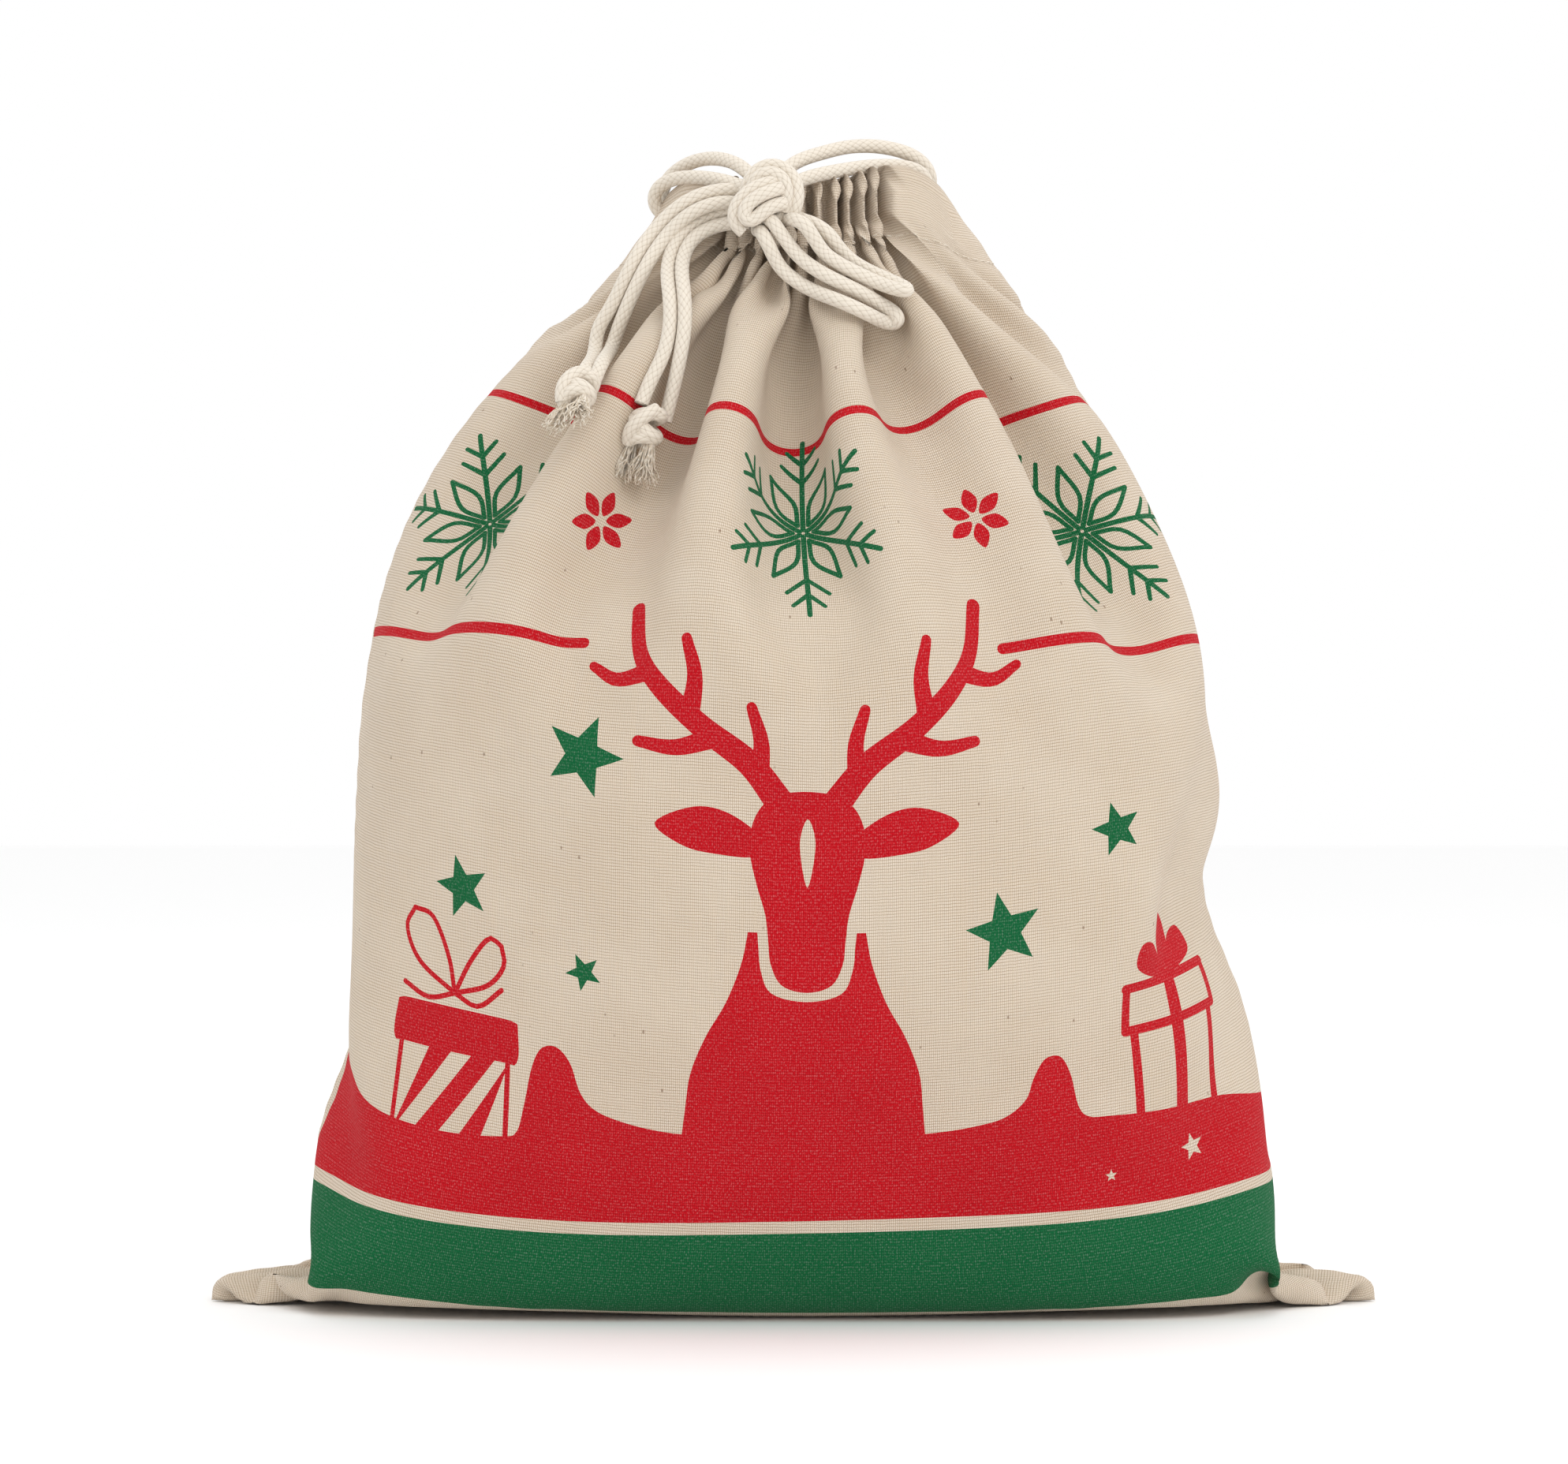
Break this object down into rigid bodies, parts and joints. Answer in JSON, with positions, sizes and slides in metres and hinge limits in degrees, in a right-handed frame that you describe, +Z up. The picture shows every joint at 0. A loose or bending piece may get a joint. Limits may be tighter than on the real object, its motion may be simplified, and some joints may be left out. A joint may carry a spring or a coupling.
{
  "type": "fabric gift sack",
  "caption": "Standing cotton canvas gift sack with a red and green winter print, a gathered mouth and a double drawcord tied in a half bow.",
  "frame": {"origin": "middle of the footprint, on the floor that the sack stands on", "axes": "+X along the width towards the right side seam as seen from the front, -Y out of the printed front, +Z up through the mouth"},
  "size_m": [0.378, 0.2002, 0.3829],
  "materials": {
    "canvas": "matte, plain weave, unbleached, printed red and green on the front",
    "cotton_cord": "matte, braided, unbleached",
    "sewing_thread": "matte"
  },
  "bodies": {
    "sack": {"front_panel": "canvas", "back_panel": "canvas", "front_casing": "canvas", "back_casing": "canvas", "left_side_seam": "canvas", "right_side_seam": "canvas", "bottom_seam": "canvas", "front_casing_stitch": "sewing_thread", "back_casing_stitch": "sewing_thread", "left_cord_in_casing": "cotton_cord", "right_cord_in_casing": "cotton_cord", "bow_knot": "cotton_cord", "left_cord_front_strand": "cotton_cord", "left_cord_back_strand": "cotton_cord", "right_cord_front_strand": "cotton_cord", "right_cord_back_strand": "cotton_cord", "left_cord_tail_lead_outer": "cotton_cord", "left_cord_tail_lead_inner": "cotton_cord", "right_cord_tail_lead_outer": "cotton_cord", "right_cord_tail_lead_inner": "cotton_cord"},
    "left_tail": {"left_cord_tail_strand_outer": "cotton_cord", "left_cord_tail_strand_inner": "cotton_cord", "left_cord_tail_knot": "cotton_cord", "left_cord_tail_fray_outer": "cotton_cord", "left_cord_tail_fray_inner": "cotton_cord"},
    "right_tail": {"right_cord_tail_strand_outer": "cotton_cord", "right_cord_tail_strand_inner": "cotton_cord", "right_cord_tail_knot": "cotton_cord", "right_cord_tail_fray_outer": "cotton_cord", "right_cord_tail_fray_inner": "cotton_cord"},
    "bow_loops": {"bow_loop_upper": "cotton_cord", "bow_loop_lower": "cotton_cord"}
  },
  "joints": [
    {"name": "left_tail_bend", "type": "hinge", "parent": "sack", "child": "left_tail", "pos_m": [-0.05686, -0.02606, 0.3405], "axis": [-1, 0, 0], "range_deg": [0, 55]},
    {"name": "right_tail_bend", "type": "hinge", "parent": "sack", "child": "right_tail", "pos_m": [-0.03959, -0.03734, 0.3326], "axis": [-1, 0, 0], "range_deg": [0, 55]},
    {"name": "bow_bend", "type": "hinge", "parent": "sack", "child": "bow_loops", "pos_m": [-0.01, -0.0425, 0.3545], "axis": [-0.6, 0, -0.8], "range_deg": [0, 50]}
  ]
}
